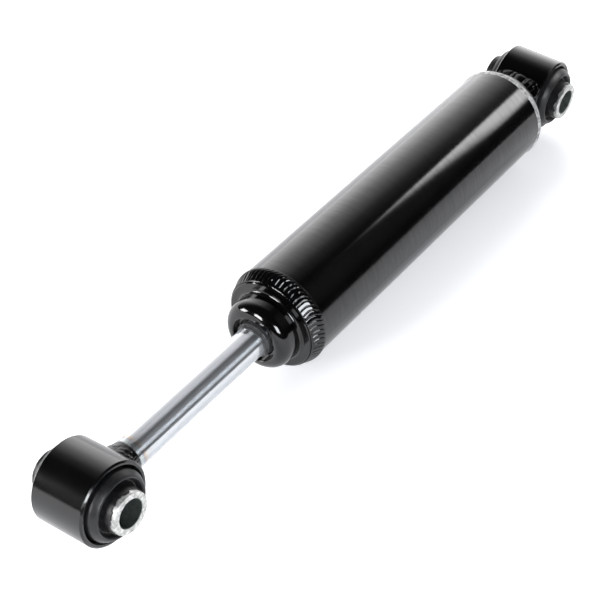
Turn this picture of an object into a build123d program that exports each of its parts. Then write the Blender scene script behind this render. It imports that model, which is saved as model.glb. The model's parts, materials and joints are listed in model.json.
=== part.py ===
from build123d import *
import math
import os

os.makedirs("parts", exist_ok=True)

# Telescopic shock absorber for a vehicle's ski: a twin-tube hydraulic damper with a rubber-bushed eye
# at each end. Millimetres. The origin is the middle of the barrel eye's bolt hole, +X runs along the
# barrel to the rod eye, +Y along the barrel eye's bolt and +Z up. The rod is drawn fully out.

# Driving sizes: travel and lengths along the shock
stroke = 74.0               # rod travel from fully out to fully in
dead_length = 103.7         # barrel tube beyond the travel, for the valves, rod guide and seals
stem_length = 4.0           # base cap's stub, from the barrel eye's ring to the flat of the cap
base_shoulder = 9.1         # that flat to the end of the barrel tube
front_bead_length = 8.2
rear_bead_length = 3.2
cap_proud = 0.6             # front cap's disc beyond its weld bead
boss_length = 11.6          # front cap's boss beyond the disc
wiper_stand = 1.8           # wiper's lip beyond the boss
closed_gap = 3.0            # wiper's lip to the rod eye's weld with the rod fully in
neck_length = 4.0           # rod eye's weld, from its toe on the rod to the ring
neck_leg = 2.0              # radial, how far that weld spreads over the ring

# Driving sizes: eyes and their rubber bushes
ring_radius = 18.0
ring_wall = 2.5
ring_width = 26.4
ring_edge = 0.8
sleeve_radius = 9.0
bolt_hole_radius = 6.1      # for an M12 bolt
sleeve_length = 43.0
sleeve_edge = 0.4
rod_eye_roll = 7.5          # degrees; the rod turns freely, so its eye needn't stand square to the other
flange_proud = 3.6          # crest of the rubber's end beyond the ring's face
crest_place = 0.4           # share of the crest's width from its inner side to its top
mouth_land = 0.4            # rubber touching the ring's bore ends this far behind the ring's inner chamfer
collar_wall = 0.9           # rubber collar round the sleeve
collar_proud = 2.5
rubber_groove = 1.5         # width of the groove between the collar and the crest
rubber_groove_depth = 1.2

# Driving sizes: barrel, caps and rod
barrel_radius = 23.3
barrel_wall = 2.0
bead_proud = 0.6
front_crest_place = 0.37    # share of the front bead's length from the tube to its crest
rear_crest_place = 0.45     # the same for the rear bead
rear_bead_drop = 0.36       # rear bead's far edge under the barrel's outside
bead_lip = 0.3              # front bead's thin edge above the front cap
rod_radius = 7.0
pressure_bore_radius = 15.0
pressure_wall = 1.5
base_wall = 4.0
base_skirt_gap = 1.25       # open ring between the skirt and the foot valve
base_insert = 6.0           # length of the base cap inside the barrel tube
base_corner = 5.0
stem_radius = 10.5          # stub on the base cap that carries the barrel eye
stem_weld_length = 3.0
stem_weld_leg = 3.6         # radial, how far the stub's weld spreads over the ring
weld_belly_place = 0.3      # share of a weld's length from its toe to its belly
weld_belly_rise = 0.55      # share of a weld's leg that its belly has risen by
stub_sink = 1.0             # stub's length round the ring's curve
cap_insert = 5.0            # length of the front cap inside the barrel tube
cap_edge = 0.4
boss_wall = 5.8             # boss outside the wiper's recess
boss_root = 1.6
rim_round = 0.6             # edge of the wiper's recess

# Driving sizes: seals and rod guide
wiper_depth = 2.2           # radial
wiper_length = 7.0
wiper_drop = 0.2            # wiper's shoulder behind the boss's front
wiper_edge = 0.3
wiper_ledge = 0.55          # radial, flat shoulder outside the lip
wiper_throat = 0.88         # radial, hollow behind the lip
lip_root_depth = 1.2        # lip's root behind the shoulder
lip_slope = 0.44            # radial, from the lip's root to its tip
lip_back = 0.5              # lip's outer edge behind its tip
lip_nose = 0.3              # radial, blunt end of the lip
lip_nose_depth = 0.2
lip_land = 0.5              # length of the lip that touches the rod
recess_gap = 1.5            # open ring round the wiper
recess_depth = 2.6
seal_depth = 5.5            # radial
seal_length = 8.0
seal_hollow = 1.65          # radial, between and beside the seal's lips
seal_lip_start = 1.6        # first lip from the seal's back
seal_lip_spacing = 4.1
seal_lip_width = 0.8
seal_lip_flank = 1.0        # length over which a lip falls into the hollow
seal_washer_thickness = 1.5
web_hole_gap = 0.4          # front cap's web round the rod
guide_flange = 5.0
guide_register = 10.0       # length of the guide inside the pressure tube
guide_bush_wall = 1.0
guide_bush_inset = 1.5
o_ring_section = 1.2        # radius
o_ring_side_gap = 0.1
drain_radius = 0.9
drain_count = 3

# Driving sizes: piston, its valves and the rebound stop
bumper_length = 8.0
bumper_depth = 4.5
bumper_gap = 0.3            # rubber to the guide, and rubber to the rod
bumper_edge = 1.2
collar_length = 4.0
collar_depth = 3.5
collar_groove = 0.6
collar_edge = 0.6
shoulder_gap = 6.5          # rebound collar to the rod's shoulder
spigot_radius = 5.0
spigot_edge = 1.0
saddle_reach = 2.0          # rod's length round the eye ring's curve
spigot_beyond_nut = 2.0
stop_washer_thickness = 1.5
stop_washer_radius = 10.5
spacer_wall = 1.4
plate_thickness = 1.0
plate_travel = 1.0
plate_overlap = 0.8         # check plate beyond the slots that it covers
plate_hole_gap = 0.2
piston_length = 12.0
piston_gap = 0.4            # piston body to the pressure tube
piston_edge = 0.5
piston_ring_width = 6.0
piston_ring_depth = 2.0
ring_side_gap = 0.05
port_hole_radius = 1.3
piston_inner_ring_radius = 8.2
piston_outer_ring_radius = 11.2
piston_slot_width = 1.8
port_count = 6
slot_angle = 34.0           # degrees of arc of each kidney slot
shim_thickness = 0.5
shim_step = 1.2             # each shim is this much smaller in radius than the one before
shim_overlap = 0.35         # first shim beyond the ports that it covers
shim_gap = 0.02             # oil film between shims
piston_shim_count = 3
nut_across_flats = 15.0
nut_length = 8.0

# Driving sizes: foot valve
foot_leg_length = 9.0
foot_leg_wall = 2.3
foot_leg_count = 4
foot_window_width = 9.0
foot_window_share = 0.75    # share of the legs' length that the windows open
foot_flange = 4.0
foot_register = 3.0
foot_pin_radius = 3.0
foot_head_radius = 5.5
foot_head_length = 2.5
foot_rivet_radius = 4.4
foot_rivet_length = 1.8
foot_pin_edge = 0.8
foot_hub_radius = 5.2
foot_stop_radius = 8.4
foot_stop_thickness = 1.2
foot_inner_ring_radius = 7.7
foot_outer_ring_radius = 11.3
foot_slot_width = 2.0
foot_port_count = 4
foot_shim_count = 2

# Valve springs
spring_room = 1.4           # height left for a spring with its plate fully open
spring_thickness = 0.35
spring_slot = 1.6
spring_slope = 1.5          # spring's width from hub to rim for each unit of its height
spring_slot_share = 0.6     # share of that width that the slots cut
spring_arm_count = 6

# Clearances
fixed_gap = 0.03            # radial, between pieces that are fixed to each other
running_gap = 0.05          # radial, between pieces that slide or turn on each other
seat_gap = 0.05             # check plate above its seat
loose_gap = 0.3             # radial, round a piece that only has to be guided

# Places along the shock, from the barrel eye's centre
base_back = ring_radius + stem_length
tube_start = base_back + base_shoulder
tube_end = tube_start + dead_length + stroke
disc_front = tube_end + front_bead_length + cap_proud
cap_front = disc_front + boss_length
wiper_tip = cap_front + wiper_stand
neck_start = wiper_tip + closed_gap + stroke
rod_eye_x = neck_start + neck_length + ring_radius
wiper_face = cap_front - wiper_drop
wiper_back = wiper_face - wiper_length
cap_back = tube_end - cap_insert
guide_seat = cap_back - guide_flange
guide_back = guide_seat - guide_register
bumper_front = guide_back - bumper_gap
collar_front = bumper_front - bumper_length
collar_back = collar_front - collar_length
rod_shoulder = collar_back - shoulder_gap
shim_pitch = shim_thickness + shim_gap
spacer_length = seat_gap + plate_thickness + plate_travel + spring_room
stop_washer_back = rod_shoulder - stop_washer_thickness
piston_front = stop_washer_back - spacer_length
piston_back = piston_front - piston_length
nut_front = piston_back - piston_shim_count * shim_pitch
nut_back = nut_front - nut_length
base_floor = base_back + base_wall
foot_seat = base_floor + foot_leg_length
foot_shoulder = foot_seat + foot_flange
foot_front = foot_shoulder + foot_register

# Radii that follow from the driving sizes
tube_bore = barrel_radius - barrel_wall
plug_radius = tube_bore - fixed_gap
pressure_radius = pressure_bore_radius + pressure_wall
ring_bore = ring_radius - ring_wall
wiper_radius = rod_radius + wiper_depth
recess_radius = wiper_radius + recess_gap
boss_radius = recess_radius + boss_wall
seal_radius = rod_radius + seal_depth
seal_pocket = seal_radius + fixed_gap
guide_bush_radius = rod_radius + running_gap + guide_bush_wall
piston_radius = pressure_bore_radius - piston_gap
piston_ring_radius = pressure_bore_radius - running_gap
ring_groove_radius = piston_ring_radius - piston_ring_depth - running_gap
spacer_radius = spigot_radius + fixed_gap + spacer_wall

print("eye to eye, rod fully out", round(rod_eye_x, 3), "and fully in", round(rod_eye_x - stroke, 3))
print("nut to foot valve, rod fully in", round(nut_back - spigot_beyond_nut - stroke - foot_front, 2))


def bolt_axis(roll):
    """Direction of an eye's bolt, rolled about the shock's length from +Y towards +Z."""
    return Vector(0, math.cos(math.radians(roll)), math.sin(math.radians(roll)))


def eye_section(centre_x, roll):
    """Plane through an eye's bolt axis: local x is the radius, local y runs along the bolt."""
    normal = Vector(1, 0, 0).cross(bolt_axis(roll))
    return Plane(origin=(centre_x, 0, 0), x_dir=(1, 0, 0), z_dir=normal)


def eye_middle(centre_x, roll):
    """Plane across an eye at its middle, square to the bolt."""
    return Plane(origin=(centre_x, 0, 0), x_dir=(1, 0, 0), z_dir=bolt_axis(roll))


def eye_axis(centre_x, roll):
    return Axis((centre_x, 0, 0), bolt_axis(roll))


def eye_ring(centre_x, roll):
    """Steel ring of an eye, its edges broken inside and out."""
    half = ring_width / 2
    with BuildPart() as ring:
        with BuildSketch(eye_section(centre_x, roll)):
            with Locations((ring_bore + ring_wall / 2, 0)):
                Rectangle(ring_wall, 2 * half)
            chamfer(vertices(), ring_edge)
        revolve(axis=eye_axis(centre_x, roll))
    return ring.part


def bush_rubber(centre_x, roll):
    """Rubber between ring and sleeve: each end has a crest, a groove and a collar round the sleeve."""
    half = ring_width / 2
    inner = sleeve_radius + running_gap
    outer = ring_bore - fixed_gap
    collar_outer = inner + collar_wall
    crest_inner = collar_outer + rubber_groove
    crest_outer = outer - ring_edge / 2
    collar_top = half + collar_proud
    mouth = half - ring_edge - mouth_land
    groove_middle = (collar_outer + crest_inner) / 2
    crest_middle = crest_inner + crest_place * (crest_outer - crest_inner)
    with BuildPart() as rubber:
        with BuildSketch(eye_section(centre_x, roll)):
            with BuildLine():
                Polyline(
                    (inner, 0),
                    (inner, collar_top),
                    (collar_outer, collar_top),
                    (groove_middle, collar_top - rubber_groove_depth),
                    (crest_inner, collar_top),
                )
                ThreePointArc(
                    (crest_inner, collar_top),
                    (crest_middle, half + flange_proud),
                    (crest_outer, half + ring_edge),
                )
                Polyline((crest_outer, half + ring_edge), (outer, mouth), (outer, 0))
                mirror(about=Plane.XZ)
            make_face()
        revolve(axis=eye_axis(centre_x, roll))
    return rubber.part


def bush_sleeve(centre_x, roll):
    """Steel sleeve that the eye's bolt clamps."""
    with BuildPart() as sleeve:
        with BuildSketch(eye_section(centre_x, roll)):
            with Locations(((bolt_hole_radius + sleeve_radius) / 2, 0)):
                Rectangle(sleeve_radius - bolt_hole_radius, sleeve_length)
            chamfer(vertices(), sleeve_edge)
        revolve(axis=eye_axis(centre_x, roll))
    return sleeve.part


def eye_weld(centre_x, roll, toe, radius, length, leg):
    """Bead round a stem of the given radius, from its toe on the stem to the eye ring it meets."""
    inner = radius + fixed_gap
    way = math.copysign(1.0, centre_x - toe)
    ring_face = toe + way * length
    deep = ring_face + way * (ring_radius - math.sqrt(ring_radius**2 - (radius + leg) ** 2) + fixed_gap)
    with BuildPart() as weld:
        with BuildSketch(Plane.XZ):
            with BuildLine():
                ThreePointArc(
                    (toe, inner),
                    (toe + way * weld_belly_place * length, inner + weld_belly_rise * leg),
                    (ring_face, inner + leg),
                )
                Polyline((ring_face, inner + leg), (deep, inner + leg), (deep, inner), (toe, inner))
            make_face()
        revolve(axis=Axis.X)
        with BuildSketch(eye_middle(centre_x, roll)):
            Circle(ring_radius + fixed_gap)
        extrude(amount=ring_width, both=True, mode=Mode.SUBTRACT)
    return weld.part


def star_spring(back, front, inner):
    """Slotted conical washer, its rim on the check plate at back and its hub under the stop at front."""
    rim = inner + spring_slope * (front - back)
    with BuildPart() as spring:
        with BuildSketch(Plane.XZ):
            with BuildLine():
                Polyline(
                    (front - spring_thickness, inner),
                    (front, inner),
                    (front, inner + spring_thickness),
                    (back + spring_thickness, rim),
                    (back, rim),
                    close=True,
                )
            make_face()
        revolve(axis=Axis.X)
        with BuildSketch(Plane.YZ.offset(back)):
            with PolarLocations(rim, spring_arm_count):
                Rectangle(2 * spring_slot_share * (rim - inner), spring_slot)
        extrude(amount=front - back, mode=Mode.SUBTRACT)
    return spring.part


def kidney_slots(ring_radius_of_slots, width, angle, count):
    """Ring of curved slots, drawn in the sketch that is open, halfway between the round ports."""
    half_turn = 180 / count
    for step in range(count):
        middle = half_turn * (2 * step + 1)
        SlotArc(CenterArc((0, 0), ring_radius_of_slots, middle - angle / 2, angle), width)


# Barrel tube
with BuildPart() as barrel_tube:
    with BuildSketch(Plane.YZ.offset(tube_start)):
        Circle(barrel_radius)
        Circle(tube_bore, mode=Mode.SUBTRACT)
    extrude(amount=tube_end - tube_start)
barrel_tube.part.label = "barrel_tube"
export_step(barrel_tube.part, "parts/barrel_tube.step")

# Weld bead between the barrel tube and the front cap
with BuildPart() as front_weld_bead:
    bead_front = tube_end + front_bead_length
    with BuildSketch(Plane.XZ):
        with BuildLine():
            ThreePointArc(
                (tube_end, barrel_radius),
                (tube_end + front_crest_place * front_bead_length, barrel_radius + bead_proud),
                (bead_front, tube_bore + bead_lip),
            )
            Polyline(
                (bead_front, tube_bore + bead_lip),
                (bead_front, tube_bore),
                (tube_end, tube_bore),
                (tube_end, barrel_radius),
            )
        make_face()
    revolve(axis=Axis.X)
front_weld_bead.part.label = "front_weld_bead"
export_step(front_weld_bead.part, "parts/front_weld_bead.step")

# Front cap: plug and disc in the barrel tube, boss with the wiper's recess, and the oil seal's pocket
with BuildPart() as front_cap:
    nose_round = boss_wall - rim_round
    rim_radius = recess_radius + rim_round
    web_back = cap_back + seal_washer_thickness + seal_length
    with BuildSketch(Plane.XZ):
        with BuildLine():
            Polyline(
                (cap_back, seal_pocket),
                (cap_back, plug_radius),
                (disc_front - cap_edge, plug_radius),
                (disc_front, plug_radius - cap_edge),
                (disc_front, boss_radius + boss_root),
            )
            RadiusArc(
                (disc_front, boss_radius + boss_root),
                (disc_front + boss_root, boss_radius),
                -boss_root,
            )
            Line((disc_front + boss_root, boss_radius), (cap_front - nose_round, boss_radius))
            RadiusArc((cap_front - nose_round, boss_radius), (cap_front, rim_radius), nose_round)
            RadiusArc((cap_front, rim_radius), (cap_front - rim_round, recess_radius), rim_round)
            Polyline(
                (cap_front - rim_round, recess_radius),
                (cap_front - recess_depth, recess_radius),
                (cap_front - recess_depth, wiper_radius + fixed_gap),
                (wiper_back, wiper_radius + fixed_gap),
                (wiper_back, rod_radius + web_hole_gap),
                (web_back, rod_radius + web_hole_gap),
                (web_back, seal_pocket),
                (cap_back, seal_pocket),
            )
        make_face()
    revolve(axis=Axis.X)
front_cap.part.label = "front_cap"
export_step(front_cap.part, "parts/front_cap.step")

# Base cap: dished end with a skirt in the barrel tube and a stub for the eye
with BuildPart() as base_cap:
    skirt_end = tube_start + base_insert
    skirt_bore = pressure_radius + base_skirt_gap
    stub_start = math.sqrt(ring_radius**2 - stem_radius**2) - stub_sink
    corner_middle = base_corner * (1 - math.sqrt(0.5))
    with BuildSketch(Plane.XZ):
        with BuildLine():
            Polyline(
                (stub_start, 0),
                (stub_start, stem_radius),
                (base_back, stem_radius),
                (base_back, plug_radius - base_corner),
            )
            ThreePointArc(
                (base_back, plug_radius - base_corner),
                (base_back + corner_middle, plug_radius - corner_middle),
                (base_back + base_corner, plug_radius),
            )
            Polyline(
                (base_back + base_corner, plug_radius),
                (skirt_end, plug_radius),
                (skirt_end, skirt_bore),
                (base_floor, skirt_bore),
                (base_floor, 0),
                (stub_start, 0),
            )
        make_face()
    revolve(axis=Axis.X)
    with BuildSketch(eye_middle(0, 0)):
        Circle(ring_radius + fixed_gap)
    extrude(amount=ring_width, both=True, mode=Mode.SUBTRACT)
base_cap.part.label = "base_cap"
export_step(base_cap.part, "parts/base_cap.step")

# Weld bead between the barrel tube and the base cap
with BuildPart() as rear_weld_bead:
    bead_back = tube_start - rear_bead_length
    bead_back_radius = barrel_radius - rear_bead_drop
    with BuildSketch(Plane.XZ):
        with BuildLine():
            ThreePointArc(
                (tube_start, barrel_radius),
                (tube_start - rear_crest_place * rear_bead_length, barrel_radius + bead_proud),
                (bead_back, bead_back_radius),
            )
            Polyline(
                (bead_back, bead_back_radius),
                (bead_back, tube_bore),
                (tube_start, tube_bore),
                (tube_start, barrel_radius),
            )
        make_face()
    revolve(axis=Axis.X)
rear_weld_bead.part.label = "rear_weld_bead"
export_step(rear_weld_bead.part, "parts/rear_weld_bead.step")

# Eyes: the barrel's stands square and the rod's is rolled
for end, centre_x, roll in (("barrel", 0, 0), ("rod", rod_eye_x, rod_eye_roll)):
    ring = eye_ring(centre_x, roll)
    ring.label = end + "_eye_ring"
    export_step(ring, "parts/" + ring.label + ".step")
    rubber = bush_rubber(centre_x, roll)
    rubber.label = end + "_bush_rubber"
    export_step(rubber, "parts/" + rubber.label + ".step")
    sleeve = bush_sleeve(centre_x, roll)
    sleeve.label = end + "_bush_sleeve"
    export_step(sleeve, "parts/" + sleeve.label + ".step")

# Weld between the barrel eye and the base cap's stub
stem_toe = ring_radius + stem_weld_length
barrel_eye_weld = eye_weld(0, 0, stem_toe, stem_radius, stem_weld_length, stem_weld_leg)
barrel_eye_weld.label = "barrel_eye_weld"
export_step(barrel_eye_weld, "parts/barrel_eye_weld.step")

# Weld between the rod eye and the rod
rod_eye_weld = eye_weld(rod_eye_x, rod_eye_roll, neck_start, rod_radius, neck_length, neck_leg)
rod_eye_weld.label = "rod_eye_weld"
export_step(rod_eye_weld, "parts/rod_eye_weld.step")

# Rod: threaded spigot for the piston at the back, saddle against the eye ring at the front
with BuildPart() as piston_rod:
    spigot_end = nut_back - spigot_beyond_nut
    collar_groove_radius = rod_radius - collar_groove
    saddle_end = rod_eye_x - ring_radius + saddle_reach
    with BuildSketch(Plane.XZ):
        with BuildLine():
            Polyline(
                (spigot_end, 0),
                (spigot_end, spigot_radius - spigot_edge),
                (spigot_end + spigot_edge, spigot_radius),
                (rod_shoulder, spigot_radius),
                (rod_shoulder, rod_radius),
                (collar_back, rod_radius),
                (collar_back, collar_groove_radius),
                (collar_front, collar_groove_radius),
                (collar_front, rod_radius),
                (saddle_end, rod_radius),
                (saddle_end, 0),
                close=True,
            )
        make_face()
    revolve(axis=Axis.X)
    with BuildSketch(eye_middle(rod_eye_x, rod_eye_roll)):
        Circle(ring_radius + fixed_gap)
    extrude(amount=ring_width, both=True, mode=Mode.SUBTRACT)
piston_rod.part.label = "piston_rod"
export_step(piston_rod.part, "parts/piston_rod.step")

# Wiper: shoulder in the boss's bore and a lip that scrapes the rod
with BuildPart() as rod_wiper:
    lip_radius = rod_radius + running_gap
    throat_radius = lip_radius + wiper_throat
    ledge_radius = wiper_radius - wiper_ledge
    land_front = wiper_tip - lip_nose_depth
    with BuildSketch(Plane.XZ):
        with BuildLine():
            Polyline(
                (wiper_back, throat_radius),
                (wiper_back, wiper_radius),
                (wiper_face - wiper_edge, wiper_radius),
                (wiper_face, wiper_radius - wiper_edge),
                (wiper_face, ledge_radius),
                (wiper_tip - lip_back, ledge_radius - lip_slope),
                (wiper_tip, lip_radius + lip_nose),
                (land_front, lip_radius),
                (land_front - lip_land, lip_radius),
                (wiper_face - lip_root_depth, throat_radius),
                close=True,
            )
        make_face()
    revolve(axis=Axis.X)
rod_wiper.part.label = "rod_wiper"
export_step(rod_wiper.part, "parts/rod_wiper.step")

# Washer behind the oil seal
with BuildPart() as seal_washer:
    with BuildSketch(Plane.YZ.offset(cap_back)):
        Circle(seal_radius)
        Circle(rod_radius + web_hole_gap, mode=Mode.SUBTRACT)
    extrude(amount=seal_washer_thickness)
seal_washer.part.label = "seal_washer"
export_step(seal_washer.part, "parts/seal_washer.step")

# Oil seal: two lips on the rod
with BuildPart() as rod_oil_seal:
    seal_back = cap_back + seal_washer_thickness
    seal_front = seal_back + seal_length
    hollow = lip_radius + seal_hollow
    first_lip = seal_back + seal_lip_start
    second_lip = first_lip + seal_lip_spacing
    with BuildSketch(Plane.XZ):
        with BuildLine():
            Polyline(
                (seal_back, hollow),
                (seal_back, seal_radius),
                (seal_front, seal_radius),
                (seal_front, hollow),
                (second_lip + seal_lip_width, lip_radius),
                (second_lip, lip_radius),
                (second_lip - seal_lip_flank, hollow),
                (first_lip + seal_lip_width + seal_lip_flank, hollow),
                (first_lip + seal_lip_width, lip_radius),
                (first_lip, lip_radius),
                close=True,
            )
        make_face()
    revolve(axis=Axis.X)
rod_oil_seal.part.label = "rod_oil_seal"
export_step(rod_oil_seal.part, "parts/rod_oil_seal.step")

# Rod guide: flange under the front cap, register in the pressure tube, drain holes to the outer chamber
with BuildPart() as rod_guide:
    guide_bore = guide_bush_radius + fixed_gap
    groove_half = o_ring_section + o_ring_side_gap
    groove_floor = tube_bore - 2 * o_ring_section - 2 * fixed_gap
    flange_middle = guide_seat + guide_flange / 2
    with BuildSketch(Plane.XZ):
        with BuildLine():
            Polyline(
                (guide_back, guide_bore),
                (guide_back, pressure_bore_radius - fixed_gap),
                (guide_seat, pressure_bore_radius - fixed_gap),
                (guide_seat, plug_radius),
                (flange_middle - groove_half, plug_radius),
                (flange_middle - groove_half, groove_floor),
                (flange_middle + groove_half, groove_floor),
                (flange_middle + groove_half, plug_radius),
                (cap_back, plug_radius),
                (cap_back, guide_bore),
                close=True,
            )
        make_face()
    revolve(axis=Axis.X)
    with BuildSketch(Plane.YZ.offset(guide_seat)):
        with PolarLocations((pressure_radius + groove_floor) / 2, drain_count):
            Circle(drain_radius)
    extrude(amount=guide_flange, mode=Mode.SUBTRACT)
rod_guide.part.label = "rod_guide"
export_step(rod_guide.part, "parts/rod_guide.step")

# Sealing ring in the guide's flange
with BuildPart() as guide_o_ring:
    with BuildSketch(Plane.XZ):
        with Locations((flange_middle, groove_floor + fixed_gap + o_ring_section)):
            Circle(o_ring_section)
    revolve(axis=Axis.X)
guide_o_ring.part.label = "guide_o_ring"
export_step(guide_o_ring.part, "parts/guide_o_ring.step")

# Plain bush that the rod slides in
with BuildPart() as guide_bush:
    with BuildSketch(Plane.YZ.offset(guide_back + guide_bush_inset)):
        Circle(guide_bush_radius)
        Circle(rod_radius + running_gap, mode=Mode.SUBTRACT)
    extrude(amount=guide_register + guide_flange - 2 * guide_bush_inset)
guide_bush.part.label = "guide_bush"
export_step(guide_bush.part, "parts/guide_bush.step")

# Pressure tube between foot valve and rod guide
with BuildPart() as pressure_tube:
    with BuildSketch(Plane.YZ.offset(foot_shoulder)):
        Circle(pressure_radius)
        Circle(pressure_bore_radius, mode=Mode.SUBTRACT)
    extrude(amount=guide_seat - foot_shoulder)
pressure_tube.part.label = "pressure_tube"
export_step(pressure_tube.part, "parts/pressure_tube.step")

# Rebound stop: a collar in the rod's groove and the rubber bumper that meets the guide
with BuildPart() as rebound_collar:
    with BuildSketch(Plane.XZ):
        with BuildLine():
            Polyline(
                (collar_back + fixed_gap, collar_groove_radius + fixed_gap),
                (collar_back + fixed_gap, rod_radius + collar_depth - collar_edge),
                (collar_back + collar_edge, rod_radius + collar_depth),
                (collar_front - fixed_gap, rod_radius + collar_depth),
                (collar_front - fixed_gap, collar_groove_radius + fixed_gap),
                close=True,
            )
        make_face()
    revolve(axis=Axis.X)
rebound_collar.part.label = "rebound_collar"
export_step(rebound_collar.part, "parts/rebound_collar.step")

with BuildPart() as rebound_bumper:
    with BuildSketch(Plane.XZ):
        with Locations((collar_front + bumper_length / 2, rod_radius + (bumper_gap + bumper_depth) / 2)):
            Rectangle(bumper_length, bumper_depth - bumper_gap)
        chamfer(vertices(), bumper_edge)
    revolve(axis=Axis.X)
rebound_bumper.part.label = "rebound_bumper"
export_step(rebound_bumper.part, "parts/rebound_bumper.step")

# Piston stack, from the rod's shoulder back: stop washer, spacer, check plate with its spring, piston,
# rebound shims and nut
with BuildPart() as piston_stop_washer:
    with BuildSketch(Plane.YZ.offset(stop_washer_back)):
        Circle(stop_washer_radius)
        Circle(spigot_radius + fixed_gap, mode=Mode.SUBTRACT)
    extrude(amount=stop_washer_thickness)
piston_stop_washer.part.label = "piston_stop_washer"
export_step(piston_stop_washer.part, "parts/piston_stop_washer.step")

with BuildPart() as piston_spacer:
    with BuildSketch(Plane.YZ.offset(piston_front)):
        Circle(spacer_radius)
        Circle(spigot_radius + fixed_gap, mode=Mode.SUBTRACT)
    extrude(amount=spacer_length)
piston_spacer.part.label = "piston_spacer"
export_step(piston_spacer.part, "parts/piston_spacer.step")

with BuildPart() as piston_check_plate:
    plate_back = piston_front + seat_gap
    plate_radius = piston_outer_ring_radius + piston_slot_width / 2 + plate_overlap
    with BuildSketch(Plane.YZ.offset(plate_back)):
        Circle(plate_radius)
        Circle(spacer_radius + loose_gap, mode=Mode.SUBTRACT)
        with PolarLocations(piston_inner_ring_radius, port_count):
            Circle(port_hole_radius, mode=Mode.SUBTRACT)
    extrude(amount=plate_thickness)
piston_check_plate.part.label = "piston_check_plate"
export_step(piston_check_plate.part, "parts/piston_check_plate.step")

piston_check_spring = star_spring(
    plate_back + plate_thickness + seat_gap,
    stop_washer_back - seat_gap,
    spacer_radius + loose_gap,
)
piston_check_spring.label = "piston_check_spring"
export_step(piston_check_spring, "parts/piston_check_spring.step")

with BuildPart() as piston_body:
    groove_start = piston_back + (piston_length - piston_ring_width) / 2 - ring_side_gap
    groove_end = groove_start + piston_ring_width + 2 * ring_side_gap
    with BuildSketch(Plane.XZ):
        with BuildLine():
            Polyline(
                (piston_back, spigot_radius + fixed_gap),
                (piston_back, piston_radius - piston_edge),
                (piston_back + piston_edge, piston_radius),
                (groove_start, piston_radius),
                (groove_start, ring_groove_radius),
                (groove_end, ring_groove_radius),
                (groove_end, piston_radius),
                (piston_front - piston_edge, piston_radius),
                (piston_front, piston_radius - piston_edge),
                (piston_front, spigot_radius + fixed_gap),
                close=True,
            )
        make_face()
    revolve(axis=Axis.X)
    with BuildSketch(Plane.YZ.offset(piston_back)):
        with PolarLocations(piston_inner_ring_radius, port_count):
            Circle(port_hole_radius)
        kidney_slots(piston_outer_ring_radius, piston_slot_width, slot_angle, port_count)
    extrude(amount=piston_length, mode=Mode.SUBTRACT)
piston_body.part.label = "piston_body"
export_step(piston_body.part, "parts/piston_body.step")

with BuildPart() as piston_ring:
    with BuildSketch(Plane.YZ.offset(groove_start + ring_side_gap)):
        Circle(piston_ring_radius)
        Circle(piston_ring_radius - piston_ring_depth, mode=Mode.SUBTRACT)
    extrude(amount=piston_ring_width)
piston_ring.part.label = "piston_ring"
export_step(piston_ring.part, "parts/piston_ring.step")

with BuildPart() as rebound_shims:
    shim_radius = piston_inner_ring_radius + port_hole_radius + shim_overlap
    for number in range(piston_shim_count):
        with BuildSketch(Plane.YZ.offset(piston_back - number * shim_pitch - shim_gap)):
            Circle(shim_radius - number * shim_step)
            Circle(spigot_radius + fixed_gap, mode=Mode.SUBTRACT)
        extrude(amount=-shim_thickness)
rebound_shims.part.label = "rebound_shims"
export_step(rebound_shims.part, "parts/rebound_shims.step")

with BuildPart() as piston_nut:
    nut_corner = nut_across_flats / math.sqrt(3)
    corner_cut = nut_corner - nut_across_flats / 2
    with BuildSketch(Plane.YZ.offset(nut_back)):
        RegularPolygon(nut_across_flats / 2, 6, major_radius=False)
        Circle(spigot_radius + fixed_gap, mode=Mode.SUBTRACT)
    extrude(amount=nut_length)
    with BuildSketch(Plane.XZ):
        with BuildLine():
            Polyline(
                (nut_back, 0),
                (nut_back, nut_across_flats / 2),
                (nut_back + corner_cut / 2, nut_corner),
                (nut_front - corner_cut / 2, nut_corner),
                (nut_front, nut_across_flats / 2),
                (nut_front, 0),
                close=True,
            )
        make_face()
    revolve(axis=Axis.X, mode=Mode.INTERSECT)
piston_nut.part.label = "piston_nut"
export_step(piston_nut.part, "parts/piston_nut.step")

# Foot valve: a body on legs with round compression ports and kidney intake slots
with BuildPart() as foot_valve_body:
    with BuildSketch(Plane.XZ):
        with BuildLine():
            Polyline(
                (foot_seat, foot_pin_radius + fixed_gap),
                (foot_seat, pressure_radius - foot_leg_wall),
                (base_floor, pressure_radius - foot_leg_wall),
                (base_floor, pressure_radius),
                (foot_shoulder, pressure_radius),
                (foot_shoulder, pressure_bore_radius - fixed_gap),
                (foot_front, pressure_bore_radius - fixed_gap),
                (foot_front, foot_pin_radius + fixed_gap),
                close=True,
            )
        make_face()
    revolve(axis=Axis.X)
    with BuildSketch(Plane.YZ.offset(base_floor)):
        with PolarLocations(pressure_radius, foot_leg_count):
            Rectangle(2 * (pressure_radius - foot_outer_ring_radius), foot_window_width)
    extrude(amount=foot_window_share * foot_leg_length, mode=Mode.SUBTRACT)
    with BuildSketch(Plane.YZ.offset(foot_seat)):
        with PolarLocations(foot_inner_ring_radius, foot_port_count):
            Circle(port_hole_radius)
        kidney_slots(foot_outer_ring_radius, foot_slot_width, slot_angle, port_count)
    extrude(amount=foot_flange + foot_register, mode=Mode.SUBTRACT)
foot_valve_body.part.label = "foot_valve_body"
export_step(foot_valve_body.part, "parts/foot_valve_body.step")

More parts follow.
